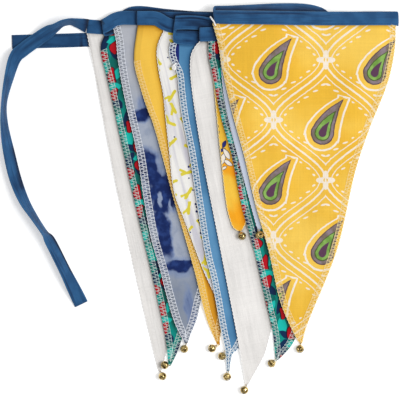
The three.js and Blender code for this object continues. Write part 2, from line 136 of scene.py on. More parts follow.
# left and right are a flag's side edges from the tape down, bellAt the middle of its bell.
flags = {
    "a": {"name": "flag_a_white", "tip": [-35.5, -154], "bellAt": [-33, -158.5],
          "left": [[-101, 151], [-72, 0], [-49, -103.5]],
          "right": [[56.5, 148.5], [-29, -135]]},
    "b": {"name": "flag_b_teal", "tip": [-26.5, -148.5], "bellAt": [-31, -148.5],
          "left": [[-85, 149], [-88.5, 138.5], [-80.5, 99.5], [-58.5, 0], [-41.5, -71.5],
                   [-30, -126]],
          "right": [[56.5, 145.5], [-18.5, -133.5]]},
    "c": {"name": "flag_c_indigo", "tip": [-11.8, -129], "bellAt": [-13.5, -134],
          "left": [[-77.3, 157], [-74.4, 143.8], [-73.1, 128.5], [-69.8, 107], [-65.6, 85.7],
                   [-55.4, 40], [-49.4, 0], [-43.1, -34.4], [-34.9, -63], [-29, -86.6],
                   [-21.9, -110.4]],
          "right": [[80, 155.5], [2.5, -87.5], [-2.2, -107], [-8, -121.5]]},
    "d": {"name": "flag_d_mustard", "tip": [17.5, -130.5], "bellAt": [11.5, -133.5],
          "left": [[-55, 157], [-58.5, 125], [-52.6, 100.3], [-46.8, 82.6], [-41, 67.3],
                   [-22.5, 0], [-4.4, -63], [7, -108]],
          "right": [[85, 155.5], [18.5, -124.5]]},
    "e": {"name": "flag_e_lime", "tip": [24.6, -133.5], "bellAt": [20.5, -140.5],
          "left": [[-31, 152], [-36.9, 139], [-38, 131], [-35.8, 113.4], [-32.4, 96.4],
                   [-30.2, 75], [-26.5, 40], [-24.2, 17], [-21.3, 2.5], [-13.6, -17.3],
                   [-5, -40.2], [3.7, -63], [16.8, -92.6], [21.2, -112.7]],
          "right": [[108.5, 149], [24, -124.5]]},
    "g": {"name": "flag_g_sky", "tip": [25.9, -154], "bellAt": [25, -159],
          "left": [[-25.5, 148], [-27, 140], [-25.7, 130.3], [-20.2, 115.5], [-18.1, 96.4],
                   [-15.3, 75], [-8.5, 40], [-1.5, -6], [5.7, -49.7], [10.8, -69], [19.6, -116.3],
                   [23.6, -135.4]],
          "right": [[112, 139.5], [36.3, -132.5], [30, -138.3], [28.4, -144.5]]},
    "h": {"name": "flag_h_white", "tip": [42.5, -166.5], "bellAt": [40.5, -171],
          "left": [[3, 150], [2.2, 142], [-2.9, 136.6], [-6.6, 130.5], [-7.8, 124], [-7.4, 108.5],
                   [1.5, 47.5], [19.5, -46], [36.5, -135]],
          "right": [[147, 143], [63.5, -121.5], [59, -138]]},
    "i": {"name": "flag_i_small_yellow", "tip": [36.7, -28], "bellAt": [38.5, -32.5],
          "left": [[9.5, 145.5], [14, 94.5], [18.7, 45.7], [24.8, -6], [27.6, -17.3], [31, -25.4]],
          "right": [[90.5, 145.5], [42, -20]]},
    "j": {"name": "flag_j_teal", "tip": [69.9, -143.8], "bellAt": [65, -147],
          "left": [[8.4, 144], [8.8, 128.3], [11, 117.7], [19.5, 75], [29.3, 40], [38.5, -6],
                   [49.3, -45.2], [60, -92.6], [65.7, -116.3]],
          "right": [[153, 145.5], [86, -125.5], [76, -139]]},
    "k": {"name": "flag_k_small_lilac", "tip": [53.5, -26.5], "bellAt": [54, -31.5],
          "left": [[17, 161], [19.5, 122], [23, 88], [45, 0]],
          "right": [[101.5, 160], [60, -20]]},
    "l": {"name": "flag_l_yellow", "tip": [91.2, -129], "bellAt": [90.5, -134],
          "left": [[12, 158], [17.2, 139], [20.6, 117.7], [30.4, 75], [40.1, 40], [50.9, -6],
                   [62.4, -45.2], [73.4, -92.6], [85.3, -120.3]],
          "right": [[176.5, 157.5], [175.5, 134], [170, 107], [153.5, 65], [141.1, 28.6],
                   [123.5, -46], [96, -115]]},
}

# The front tie's middle line, and how far its band stands up on edge there, in degrees.
tieFront = [
    [-100.6, 156.1, 8],
    [-106.7, 157.8, 43],
    [-111.8, 159, 57],
    [-116.3, 159.7, 66],
    [-122.6, 158.3, 66],
    [-128.9, 154.4, 55],
    [-139, 148.5, 18],
    [-157.5, 135.5, 0],
    [-165.5, 127, 30],
    [-171, 109, 52],
    [-175.3, 86, 71],
    [-175.2, 69, 62],
    [-170.5, 40.5, 38],
    [-165.3, 19.2, 34],
    [-157.7, -0.2, 46],
    [-148.4, -15.5, 62],
    [-139, -29.5, 66],
    [-134, -37, 42],
    [-120, -65, 38],
    [-106, -94, 0],
]

# Soft ridges pressed into the cloth: where each starts and ends, its half width and its height.
creases = {
    "a": [[-92, 120, -70, -20, 5, 0.8], [-60, 60, -45, -90, 6, 0.7]],
    "c": [[-60, 120, -48, 40, 5, 0.8], [-30, -20, -12, -100, 5, 0.7]],
    "d": [[-48, 140, -38, 60, 6, 1.0], [-8, -10, 10, -90, 5, 0.9]],
    "e": [[-20, 60, -8, 0, 4, 0.5]],
    "g": [[-12, 130, -8, 80, 4, 1.0], [2, 40, 14, -60, 4, 0.7]],
    "h": [[2, 138, -1, 95, 4, 1.4], [8, 60, 22, -30, 5, 1.0], [30, -40, 42, -120, 6, 1.0],
          [45, -70, 50, -140, 4, 0.7]],
    "l": [[40, 150, 64, 90, 9, 0.8], [150, 150, 120, 60, 10, 0.8], [70, 40, 90, -60, 8, 0.8],
          [120, 30, 102, -60, 7, 0.6], [80, -60, 92, -110, 5, 0.6]],
}


# The side edges of a flag as fine lines from the tape to its blunt tip.
def sideEdges(flag, steps=14):
    tip = np.array(flag["tip"], float)
    half = np.array([cloth["tipWidth"] / 2, 0])
    left = curveThrough([*flag["left"], tip - half], steps)
    right = curveThrough([*flag["right"], tip + half], steps)
    return left, right


# The height of a pass's middle line at given places along X.
def passHeight(line, x):
    line = np.array(line, float)
    order = np.argsort(line[:, 0], kind="stable")
    return np.interp(x, line[order, 0], line[order, 1])


# The height of every layer's lower face on a fine plan grid. Each layer lifts what lies over it
# by its pitch where it is, and less and less outside its edge; creases add to their own layer.
class Heights:
    def __init__(self, step=2.5):
        self.x = np.arange(-195, 195.1, step)
        self.y = np.arange(-185, 190.1, step)
        self.step, self.floor = step, {}
        gx, gy = np.meshgrid(self.x, self.y, indexing="ij")
        height = np.zeros_like(gx)
        self.floor["tieBack"] = height
        height = height + self.lift(gx, gy, bandOf(tieBackLine, tape["width"]), tape["pitch"])
        for key, flag in flags.items():
            left, right = sideEdges(flag)
            height = height + self.ridges(gx, gy, creases.get(key, []))
            self.floor[key] = height
            band = bandOf(curveThrough(passes[key], 6), tape["width"])
            sheet = np.vstack([left, right[::-1]])
            height = height + np.maximum(self.lift(gx, gy, band, tape["pitch"]),
                                         self.lift(gx, gy, sheet, cloth["pitch"]))

    # The full pitch up to one and a half grid steps outside an outline, then a smooth fall.
    def lift(self, x, y, outline, pitch):
        away = outside(x, y, outline)
        return pitch * (1 - smooth((away - 1.5 * self.step) / cloth["fall"]))

    # A ridge is a bell-shaped rise around a straight line, dying out at both ends.
    def ridges(self, x, y, rows):
        total = np.zeros_like(x)
        for x0, y0, x1, y1, width, rise in rows:
            dx, dy = x1 - x0, y1 - y0
            t = ((x - x0) * dx + (y - y0) * dy) / (dx * dx + dy * dy)
            away = ((x - x0) * dy - (y - y0) * dx) / math.hypot(dx, dy)
            total += rise * np.exp(-((away / width) ** 2)) * smooth(t * 4) * smooth((1 - t) * 4)
        return total

    # The height between four grid points, blended in both directions.
    def at(self, key, x, y):
        z = self.floor[key]
        i = np.clip((x - self.x[0]) / self.step, 0, len(self.x) - 1.001)
        j = np.clip((y - self.y[0]) / self.step, 0, len(self.y) - 1.001)
        a, b = i.astype(int), j.astype(int)
        u, v = i - a, j - b
        return ((1 - u) * (1 - v) * z[a, b] + u * (1 - v) * z[a + 1, b]
                + (1 - u) * v * z[a, b + 1] + u * v * z[a + 1, b + 1])


print("heights")
heights = Heights()


# Soft shade beside the layers that lie on top of a place, from the given layer up: strongest
# against their edges, and gone a few millimetres away, later for a higher layer.
contact = {"reach": 2.4, "more": 0.35, "most": 5.0, "power": 1.4}


def contactShade(points, first, ownBand=None):
    x, y = points[..., 0], points[..., 1]
    shade = np.zeros(x.shape)
    rows = [] if ownBand is None else [(contact["reach"] / 2, ownBand)]
    for n, key in enumerate(list(flags)[first:]):
        reach = min(contact["most"], contact["reach"] + contact["more"] * n)
        left, right = sideEdges(flags[key], 4)
        rows += [(reach, bandOf(passes[key], tape["width"])),
                 (reach, np.vstack([left, right[::-1]]))]
    for reach, outline in rows:
        shade = np.maximum(shade, np.exp(-((outside(x, y, outline) / reach) ** contact["power"])))
    return shade


# Meshes

# Plan points in millimetres as places in the frame, in metres.
def placed(points):
    p = np.array(points, float)
    p[..., :2] -= planMiddle
    return p * mm


# A mesh object from points, faces and a texture place for each point.
def makeObject(name, points, faces, uv=None, material=None, values=None):
    mesh = bpy.data.meshes.new(name)
    mesh.from_pydata(np.asarray(points).reshape(-1, 3).tolist(), [], np.asarray(faces).tolist())
    if uv is not None:
        layer = mesh.uv_layers.new(name="plan")
        index = np.zeros(len(mesh.loops), np.int32)
        mesh.loops.foreach_get("vertex_index", index)
        layer.data.foreach_set("uv", np.asarray(uv).reshape(-1, 2)[index].astype(np.float32).ravel())
    for title, numbers in (values or {}).items():
        layer = mesh.attributes.new(title, "FLOAT", "POINT")
        layer.data.foreach_set("value", np.asarray(numbers, np.float32).ravel())
    mesh.shade_smooth()
    obj = bpy.data.objects.new(name, mesh)
    bpy.context.collection.objects.link(obj)
    if material:
        mesh.materials.append(material)
    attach(obj, "root")
    return obj


# Makes a surface a shell of its own thickness: offset 0 is to both sides of it, -1 inwards.
def thicken(obj, thickness, offset):
    shell = obj.modifiers.new("thickness", "SOLIDIFY")
    shell.thickness, shell.offset = thickness * mm, offset


# The four corners of each cell of a grid, optionally closed round its second direction.
def gridFaces(rows, cols, closed=False, first=0):
    i, j = np.meshgrid(np.arange(rows - 1), np.arange(cols if closed else cols - 1), indexing="ij")
    a, b = i * cols + j, i * cols + (j + 1) % cols
    return np.stack([a, b, b + cols, a + cols], -1).reshape(-1, 4) + first


# The faces of a row of rings, with each end closed by a fan of four-sided faces. around is even.
def closedRings(rings, around):
    end = np.array([[0, k + 1, k + 2, k + 3] for k in range(0, around - 2, 2)])
    return np.vstack([gridFaces(rings, around, closed=True), end[:, ::-1], end + (rings - 1) * around])


# A tube along a line: a ring of points round each of its points, standing on two directions square
# to the line, closed at both ends.
def tubes(line, radius, sides, flatten=1.0):
    d = np.gradient(line, axis=0)
    d /= np.linalg.norm(d, axis=1)[:, None] + 1e-12
    up = np.tile([0.0, 0.0, 1.0], (len(line), 1))
    side = np.cross(d, up)
    side /= np.linalg.norm(side, axis=1)[:, None] + 1e-12
    up = np.cross(side, d)
    angle = np.arange(sides) / sides * 2 * math.pi + math.pi / sides
    ring = (side[:, None] * np.cos(angle)[None, :, None]
            + flatten * up[:, None] * np.sin(angle)[None, :, None])
    return line[:, None] + radius * ring, closedRings(len(line), sides)


# Several tubes joined into one list of points and faces.
def joined(parts):
    points, faces, start = [], [], 0
    for p, f in parts:
        p = p.reshape(-1, 3)
        points.append(p)
        faces.append(f + start)
        start += len(p)
    return np.vstack(points), np.vstack(faces)


# Materials: one small class wraps a socket and turns Python sums into Math nodes.

softEdge = 0.0002    # half the soft edge of a printed mark, in metres


class Signal:
    def __init__(self, tree, socket):
        self.tree, self.socket = tree, socket

    # A Math node with this signal as its first value.
    def maths(self, operation, *others):
        return addNode(self.tree, "ShaderNodeMath", {"operation": operation},
                       dict(enumerate([self, *others])))

    def __add__(self, other): return self.maths("ADD", other)
    def __radd__(self, other): return self.maths("ADD", other)
    def __sub__(self, other): return self.maths("SUBTRACT", other)
    def __rsub__(self, other): return (self * -1).maths("ADD", other)
    def __mul__(self, other): return self.maths("MULTIPLY", other)
    def __rmul__(self, other): return self.maths("MULTIPLY", other)
    def __truediv__(self, other): return self.maths("DIVIDE", other)
    def __pow__(self, other): return self.maths("POWER", other)
    def __gt__(self, other): return self.maths("GREATER_THAN", other)
    def sin(self): return self.maths("SINE")
    def cos(self): return self.maths("COSINE")
    def abs(self): return self.maths("ABSOLUTE")
    def floor(self): return self.maths("FLOOR")
    def fract(self): return self.maths("FRACT")
    def root(self): return self.maths("SQRT")
    def most(self, other): return self.maths("MAXIMUM", other)
    def least(self, other): return self.maths("MINIMUM", other)

    # 0 below low, 1 above high, smooth between them.
    def step(self, low=-softEdge, high=softEdge):
        return addNode(self.tree, "ShaderNodeMapRange", {"interpolation_type": "SMOOTHSTEP"},
                       {0: self, 1: low, 2: high, 3: 0.0, 4: 1.0})


# Gives a node its inputs, each a value or a link.
def feed(node, inputs):
    for key, value in inputs.items():
        if isinstance(value, Signal):
            value.tree.links.new(value.socket, node.inputs[key])
        else:
            node.inputs[key].default_value = value


# A new node with its settings and inputs. Returns one of its outputs.
def addNode(tree, kind, settings, inputs, output=0):
    node = tree.nodes.new(kind)
    for key, value in settings.items():
        setattr(node, key, value)
    feed(node, inputs)
    return Signal(tree, node.outputs[output])


# The parts of a vector or a colour, each as its own signal.
def partsOf(signal, kind="ShaderNodeSeparateXYZ"):
    node = signal.tree.nodes.new(kind)
    feed(node, {0: signal})
    return [Signal(signal.tree, socket) for socket in node.outputs]


# A new material with a plain shader, its tree and its shader node.
def newMaterial(name):
    material = bpy.data.materials.new(name)
    material.use_nodes = True
    return material, material.node_tree, material.node_tree.nodes["Principled BSDF"]


# A colour given as six hexadecimal digits, in Blender's own linear numbers.
def colour(code):
    channels = [int(code[k : k + 2], 16) / 255 for k in (0, 2, 4)]
    return tuple(c / 12.92 if c < 0.04045 else ((c + 0.055) / 1.055) ** 2.4 for c in channels) + (1,)


# One colour over another by a mask. Each is a signal or six hexadecimal digits.
def over(under, top, mask):
    under, top = [colour(c) if isinstance(c, str) else c for c in (under, top)]
    return addNode(mask.tree, "ShaderNodeMix", {"data_type": "RGBA"}, {0: mask, 6: under, 7: top}, 2)


# The surface's place on its own map in metres: as a vector, then its two coordinates.
def planPlace(tree):
    place = addNode(tree, "ShaderNodeUVMap", {"uv_map": "plan"}, {})
    return [place, *partsOf(place)[:2]]


# Soft noise on the map, from 0 to 1, with so many lumps a metre.
def noise(place, scale, detail):
    return addNode(place.tree, "ShaderNodeTexNoise", {"noise_dimensions": "2D"},
                   {"Vector": place, "Scale": scale, "Detail": detail})


# Noise drawn out into streaks, by its own scale along u and along v.
def streaks(u, v, scaleU, scaleV, detail):
    place = addNode(u.tree, "ShaderNodeCombineXYZ", {}, {0: u * scaleU, 1: v * scaleV})
    return noise(place, 1.0, detail)


# The length of a step of a and b.
def lengthOf(a, b):
    return (a * a + b * b).root()


# Turns x and y by an angle in degrees.
def turned(x, y, degrees):
    c, s = math.cos(math.radians(degrees)), math.sin(math.radians(degrees))
    return x * c + y * s, y * c - x * s


# A new material with a plain shader, its tree and its shader node.
def newMaterial(name):
    material = bpy.data.materials.new(name)
    material.use_nodes = True
    return material, material.node_tree, material.node_tree.nodes["Principled BSDF"]


# Numbers stored at the points of a mesh, under a name.
def stored(tree, name):
    return addNode(tree, "ShaderNodeAttribute", {"attribute_name": name}, {}, 2)


# A colour made darker by a light share, and darker and deeper again in the contact shade.
def darkened(base, light, strength):
    tree = light.tree
    shade = stored(tree, "shade")
    deep = addNode(tree, "ShaderNodeGamma", {}, {"Color": base, "Gamma": shade * 0.35 + 1})
    value = light * (1 - shade * strength)
    grey = addNode(tree, "ShaderNodeCombineColor", {}, {0: value, 1: value, 2: value})
    return addNode(tree, "ShaderNodeMix", {"data_type": "RGBA", "blend_type": "MULTIPLY"},
                   {0: 1.0, 6: deep, 7: grey}, 2)


# A shader normal from a height, with the depth in metres that a height of 1 stands for.
def bumped(height, strength, depth):
    return addNode(height.tree, "ShaderNodeBump", {},
                   {"Strength": strength, "Distance": depth, "Height": height})


# Threads woven both ways: a sine along u times a sine along v, from 0 to 1.
def weaveOf(u, v, pitch):
    wave = 2 * math.pi / (pitch * mm)
    return (u * wave).sin() * (v * wave).sin() * 0.5 + 0.5


# Woven cloth: threads of two directions in the bump, a few thicker ones, soft shade changes,
# and a print laid over the ground colour. It is shaded under its sewing.
def clothMaterial(name, ground, print_=None, lean=12, slub=0.05, depth=0.4, shade=0.1,
                  shadeUnder=0.3, wrinkle=2.5):
    material, tree, shader = newMaterial(name)
    place, x, y = planPlace(tree)
    u, v = turned(x, y, lean)
    weave = weaveOf(u, v, cloth["weave"])
    slubs = (streaks(u, v, 1400, 22, 1.0) + streaks(u, v, 22, 1400, 1.0)) * 0.5
    light = 1 - slub + slubs * (2 * slub) + (noise(place, 26.0, 3.0) - 0.5) * shade + (weave - 0.5) * 0.06
    light = light * (1 - shadeUnder + stored(tree, "edge").step(0.9, 1.08) * shadeUnder)
    height = (weave * 0.5 + slubs * 0.9 + noise(place, 160.0, 3.0) * 1.2
              + streaks(u, v, 150, 18, 2.0) * wrinkle)
    base = print_(place, x, y, ground) if print_ else colour(ground)
    feed(shader, {"Base Color": darkened(base, light, 0.42), "Normal": bumped(height, depth, 0.0004),
                  "Roughness": 0.9, "Sheen Weight": 0.15, "Specular IOR Level": 0.2})
    return material


# A long petal or leaf round a place: an oval pinched towards its tip. Returns how deep inside a
# place is, above 0 within the petal.
def petal(x, y, centre, long, wide, degrees):
    px, py = turned(x - centre[0], y - centre[1], degrees)
    share = px / long
    return (1 - share * share) * wide - py.abs()


# A repeat of cells, every second column dropped by half: the place inside its cell, centred.
def halfDrop(x, y, width, height):
    column = (x / width).floor()
    dropped = y / height + (column * 0.5).fract()
    return ((x / width).fract() - 0.5) * width, (dropped.fract() - 0.5) * height


# Scattered cells: the place seen from the middle of its Voronoi cell, turned at random, and a
# random number for each cell.
def scatteredCells(place, spacing):
    inputs = {"Vector": place, "Scale": 1 / spacing, "Randomness": 0.75}
    centre, seed = [addNode(place.tree, "ShaderNodeTexVoronoi", {"voronoi_dimensions": "2D"}, inputs, n)
                    for n in (2, 1)]
    offset = addNode(place.tree, "ShaderNodeVectorMath", {"operation": "SUBTRACT"},
                     {0: place, 1: centre})
    x, y = partsOf(offset)[:2]
    first, second = partsOf(seed, "ShaderNodeSeparateColor")[:2]
    angle = first * 6.28
    return (x * angle.cos() + y * angle.sin(), y * angle.cos() - x * angle.sin(), second)


# A round-ended stroke between two places: how deep inside it a place is.
def stroke(x, y, start, end, half):
    dx, dy = end[0] - start[0], end[1] - start[1]
    u, v = x - start[0], y - start[1]
    t = ((u * dx + v * dy) / (dx * dx + dy * dy)).most(0).least(1)
    return half - lengthOf(u - t * dx, v - t * dy)


# Teal cotton with navy and bright leaves and dark-edged red half petals in a half-drop repeat. A
# leaf row is the middle, half length, half width, turn and colour; a petal row has no colour.
tealLeaves = [
    ((0.006, -0.006), 0.0150, 0.0048, 104, "00675F"), ((-0.006, 0.012), 0.0120, 0.0040, 66, "06284E"),
    ((0.006, 0.003), 0.0085, 0.0036, 140, "06284E"), ((-0.006, -0.009), 0.0100, 0.0040, 92, "14B8AC"),
    ((0.004, 0.0165), 0.0070, 0.0036, 14, "14B8AC"), ((0.007, -0.013), 0.0070, 0.0034, 60, "14B8AC"),
    ((-0.003, -0.017), 0.0070, 0.0030, 150, "06284E"),
]
redPetals = [((0.005, 0.010), 0.0062, 0.0056, 84), ((-0.006, 0.002), 0.0054, 0.0052, 280),
             ((0.003, -0.016), 0.0086, 0.0050, 98)]
tealRepeat = {"column": 0.023, "drop": 0.042, "lift": 0.020}


def tealPrint(place, x, y, ground):
    u, v = halfDrop(x, y + tealRepeat["lift"], tealRepeat["column"], tealRepeat["drop"])
    bend = (noise(place, 90.0, 1.0) - 0.5) * 0.0022
    base = over(ground, "007068", noise(place, 30.0, 1.0).step(0.46, 0.58))
    for centre, long, wide, degrees, code in tealLeaves:
        leaf = petal(u, v, centre, long, wide, degrees) + bend
        base = over(base, code, leaf.step(-0.0003, 0.0003))
    for centre, long, wide, degrees in redPetals:
        beside = turned(u - centre[0], v - centre[1], degrees)[1]
        shape = petal(u, v, centre, long, wide, degrees).least(beside + wide * 0.3) + bend
        base = over(base, "1C0A1A", shape.step(-0.0010, -0.0004))
        base = over(base, "B8081E", shape.step(0.0, 0.0005))
    return base


# Soft blue dye in folded bands: rows of x, y, half length, half width, turn and strength. A
# negative strength keeps a pale place clear of dye.
dyeMarks = [
    [-51, 77.5, 9, 7, 0, 1.0], [-50, 88, 9, 7, 100, 0.42], [-44.3, 28, 20, 12, 114, 1.0],
    [-27, 10, 18, 9, 112, 1.0], [-36, 4, 15, 12, 100, 1.0], [-32.4, -27, 27, 6.8, 99, 1.0],
    [-33, -43, 9, 6, 99, 0.8], [-17, -59, 15, 5, 1, 1.0], [-19, -59, 17, 9, 1, 0.34],
    [-8, -98, 22, 4.5, 99, 0.45], [-70, 122, 16, 5, 96, 0.12],
    [-34.5, 31, 10, 3.2, 110, -0.45], [-35.7, 3, 6.5, 2, 106, -0.75], [-24.5, -3, 5, 1.4, 106, -0.6],
    [-42, -3, 4, 1.8, 70, -0.35], [5, 60, 30, 10, 70, 0.8], [35, 110, 30, 8, 40, 0.8],
]


def indigoDye(place, x, y, ground):
    u, v = turned(x, y, 14)
    fibres = (streaks(u, v, 420, 34, 3.0) - 0.5) * 0.7
    wx = x + (noise(place, 60.0, 3.0) - 0.5) * 0.010
    wy = y + (noise(place, 42.0, 3.0) - 0.5) * 0.013
    dye, clear = None, None
    for mx, my, long, wide, degrees, strength in dyeMarks:
        px, py = turned(wx - mx * mm, wy - my * mm, degrees)
        mark = (1 - lengthOf(px / (long * mm), py / (wide * mm))).step(-0.35, 0.4) * abs(strength)
        if strength > 0:
            dye = mark if dye is None else dye.most(mark)
        else:
            clear = mark if clear is None else clear.most(mark)
    dye = dye * (1 - clear)
    dye = (dye + fibres * dye * (1 - dye) * 2).most(0)
    pale = over("858E9E", "A3ABBA", y.step(-0.085, -0.045))
    pale = over(pale, ground, y.step(0.07, 0.12))
    upper = y.step(0.06, 0.11)
    haze = noise(place, 24.0, 3.0).step(0.45, 0.8) * (0.22 - upper * 0.14)
    base = over(pale, "7085B0", haze.most(dye.least(0.45) * 1.7))
    blotch = noise(place, 90.0, 4.0).step(0.46, 0.74) * (0.42 - upper * 0.32)
    base = over(base, "74829E", blotch)
    navy = over("0B2258", "2C4888", noise(place, 150.0, 4.0).step(0.4, 0.75) * 0.6)
    return over(base, navy, dye.step(0.28, 0.9))


# Sky-blue cotton with one navy patch beside its seam, just under the tape.
navyPatch = {"left": -0.0290, "right": -0.0184, "foot": 0.1165}


def skyCloth(place, x, y, ground):
    left, right, foot = navyPatch["left"], navyPatch["right"], navyPatch["foot"]
    patch = x.step(left, left + 0.0004) * (1 - x.step(right, right + 0.0006))
    patch = patch * y.step(foot - 0.0004, foot + 0.0004)
    return over(over(ground, "4A80AA", noise(place, 18.0, 2.0).step(0.4, 0.7)), "14246C", patch)


# White cotton with lime twigs, each a long stroke with a shorter one at its side, grey-lilac
# streaks of painted shade from soft folds, and a few navy dots, some of them in a row beside the
# next flag's seam.
seamDots = [[-5.6, 9.0], [-3.4, -3.6], [-2.4, -6.0], [-2.6, -10.2], [-0.4, -18.4], [0.6, -20.2],
            [1.4, -29.5], [-9.5, 30.0]]
twig = {"spacing": 0.0148, "stem": ((0.0, -0.0058), (0.0, 0.0042), 0.00145),
        "arm": ((0.0, -0.0004), (0.0042, 0.0044), 0.0012)}
dotSize = {"spacing": 0.012, "half": 0.0007, "seam": 0.0010}


def limePrint(place, x, y, ground):
    px, py, seed = scatteredCells(place, twig["spacing"])
    ripple = (noise(place, 300.0, 1.0) - 0.5) * 0.0012
    stem, arm = [(stroke(px, py, *twig[part]) + ripple).step(-0.0002, 0.0003)
                 for part in ("stem", "arm")]
    marks = stem.most(arm * (seed > 0.35))
    u, v = turned(x, y, 14)
    # Grey-lilac streaks along the cloth: painted shade of soft folds.
    base = over(ground, "C2C0CC", streaks(u, v, 130, 9, 2.0).step(0.48, 0.72) * 0.8)
    base = over(base, "DACA26", marks * 0.95)
    dx, dy, other = scatteredCells(place, dotSize["spacing"])
    dots = (dotSize["half"] - lengthOf(dx, dy)).step() * (other > 0.8)
    for mx, my in seamDots:
        dots = dots.most((dotSize["seam"] - lengthOf(x - mx * mm, y - my * mm) + ripple).step())
    return over(base, "1C2C6C", dots)


# Yellow cotton with a loose group of navy and white petals, each with a dark rim: rows of x, y,
# half length, half width, turn and colour.
petalMarks = [
    [22.2, 50.0, 4.2, 1.7, 66, "26307A"], [19.6, 44.6, 4.4, 1.5, 24, "26307A"],
    [24.4, 41.6, 6.0, 2.4, 122, "F2EADC"], [20.9, 37.0, 5.4, 2.5, 78, "F2EADC"],
    [26.0, 33.4, 4.8, 2.2, 146, "F2EADC"], [21.8, 28.6, 3.4, 1.4, 30, "F2EADC"],
    [16.8, 66.0, 2.2, 0.8, 84, "4A4A58"], [17.4, 60.5, 1.8, 0.7, 70, "4A4A58"],
]


def smallPrint(place, x, y, ground):
    base = over(ground, "F2A41A", noise(place, 30.0, 2.0).step(0.42, 0.66))
    bend = (noise(place, 200.0, 1.0) - 0.5) * 0.0012
    for mx, my, long, wide, degrees, code in petalMarks:
        inside = petal(x, y, (mx * mm, my * mm), long * mm, wide * mm, degrees) + bend
        base = over(base, "3C3C50", inside.step(-0.0003, 0.0001))
        base = over(base, code, (inside - 0.0004).step(-0.0001, 0.0002))
    return base


# Plain mustard cotton, with painted shade down its lower right side: a deeper orange band along a fold.
mustardFoldShade = {"from": (0.0056, -0.0560), "to": (0.0172, -0.1280), "half": 0.0030}


def mustardCloth(place, x, y, ground):
    fold = stroke(x, y, mustardFoldShade["from"], mustardFoldShade["to"], mustardFoldShade["half"])
    base = over(ground, "E8B03A", noise(place, 22.0, 2.0).step(0.45, 0.75) * 0.6)
    # Painted shade of the fold: a deeper orange over the band.
    return over(base, "D08E14", fold.step(-0.0016, 0.0012) * 0.85)


# Yellow cotton with a white ogee lattice, a plum and green paisley in each of its cells, and small
# white rosettes where its lines meet. Sizes in metres.
ogee = {"column": 0.047, "drop": 0.108, "at": (-0.004, 0.018), "line": 0.0008, "inset": 0.0052,
        "bead": 0.0058, "beadHalf": 0.0011}
rosette = {"radius": 0.0062, "petal": 0.0024, "eye": 0.0020, "petals": 4}
paisley = {"foot": -0.0120, "height": 0.0340, "wide": 0.0105, "bend": 0.0110, "turn": -14,
           "ring": 0.0050, "ringWide": 0.0026, "rim": 0.0007}


# How deep inside a paisley a place is: a tail that narrows and bends over, on a round foot. The
# share makes it smaller about its foot.
def paisleyAt(p, q, share):
    foot, tall, wide = paisley["foot"], paisley["height"] * share, paisley["wide"] * share
    t = ((q - foot) / tall).most(0).least(1)
    tail = wide * (1 - t) * (1 + t * 0.5) - (p - t * t * paisley["bend"] * share).abs()
    tail = tail.least(q - foot).least((foot + tall - q) * 2)
    return (wide - lengthOf(p, q - foot)).most(tail)


# The lattice is two cosine curves a drop long that meet at the rosettes; its distance is the gap
# across, divided by the slant of the curve there. A thin line runs on each side and beads inside.
def ogeePrint(place, x, y, ground):
    ripple = (noise(place, 260.0, 2.0) - 0.5) * 0.0009
    base = over(ground, "F2C856", noise(place, 12.0, 3.0).step(0.35, 0.7))
    base = over(base, "E6AC30", noise(place, 30.0, 3.0).step(0.55, 0.8) * 0.5)
    column, drop, line, inset, bead = [ogee[k] for k in ("column", "drop", "line", "inset", "bead")]
    u, v = halfDrop(x - ogee["at"][0], y - ogee["at"][1], column, drop)
    swing = (v * (math.pi / drop)).cos()
    slope = (v * (2 * math.pi / drop)).sin() * (math.pi * column / drop)
    away = (swing * swing * column - u.abs()) / (slope * slope + 1).root() + ripple
    marks = (line - away.abs()).step()
    for side in (-inset, inset):
        marks = marks.most((line * 0.55 - (away + side).abs()).step())
    run = ((v / bead).fract() - 0.5) * bead
    marks = marks.most((ogee["beadHalf"] - lengthOf(away.abs() - inset * 1.75, run)).step())
    w = v.abs() - drop / 2
    radius = lengthOf(u, w)
    wave = (w.maths("ARCTAN2", u) * rosette["petals"]).cos() * rosette["petal"]
    flower = (rosette["radius"] + wave - radius).step(-0.0002, 0.0003)
    marks = marks.most(flower * (radius - rosette["eye"]).step())
    base = over(base, "F0E6D8", marks * 0.94)
    p, q = turned(u, v, paisley["turn"])
    whole, core, heart = [paisleyAt(p, q, share) + ripple for share in (1.0, 0.66, 0.34)]
    ring = paisley["ringWide"] - (whole + paisley["ring"]).abs()
    base = over(base, "F0E6D8", ring.step(0.0016, 0.0019))
    stain = noise(place, 130.0, 3.0).step(0.3, 0.7)
    base = over(base, "54404E", whole.step(-0.0003, 0.0001))
    base = over(base, over("75675A", "8C7C86", stain), (whole - paisley["rim"]).step(0, 0.0004))
    base = over(base, "4A5A2C", core.step(-0.0004, 0.0001))
    base = over(base, over("6C9640", "8CB45C", stain), (core - 0.0006).step(0, 0.0004))
    return over(base, "5A3A52", heart.step(-0.0003, 0.0002))


# Tape of close plain cotton: fine weave, paler along its folded edges, with a stitched seam, and long
# creases pressed in, darkened with painted shade.
def tapeMaterial():
    material, tree, shader = newMaterial("tapeCotton")
    place, s, v = planPlace(tree)
    weave = weaveOf(s, v, tape["weave"])
    patches = noise(place, 60.0, 3.0)
    creaseAndShade = streaks(s, v, 28, 420, 2.0).step(0.52, 0.66)
    seam = 1 - (v + (tape["width"] / 2 - tape["stitchIn"]) * mm).abs().step(0.0001, 0.0004)
    stitch = ((s / (tape["stitchPitch"] * mm)).fract() - 0.5).abs()
    base = over("1B4A76", "285A88", patches.step(0.3, 0.7))
    base = over(base, "356A94", v.abs().step(0.0050, 0.0062) * 0.5)
    base = over(base, "143C66", seam * stitch.step(0.08, 0.14) * 0.6)
    # Darker streaks along the creases: painted shade.
    base = over(base, "123A62", creaseAndShade * 0.45)
    feed(shader, {"Base Color": darkened(base, 0.94 + weave * 0.12, 0.76),
                  "Normal": bumped(weave * 0.5 + patches - creaseAndShade * 2.5, 0.4, 0.0003),
                  "Roughness": 0.85, "Sheen Weight": 0.15, "Specular IOR Level": 0.25})
    return material


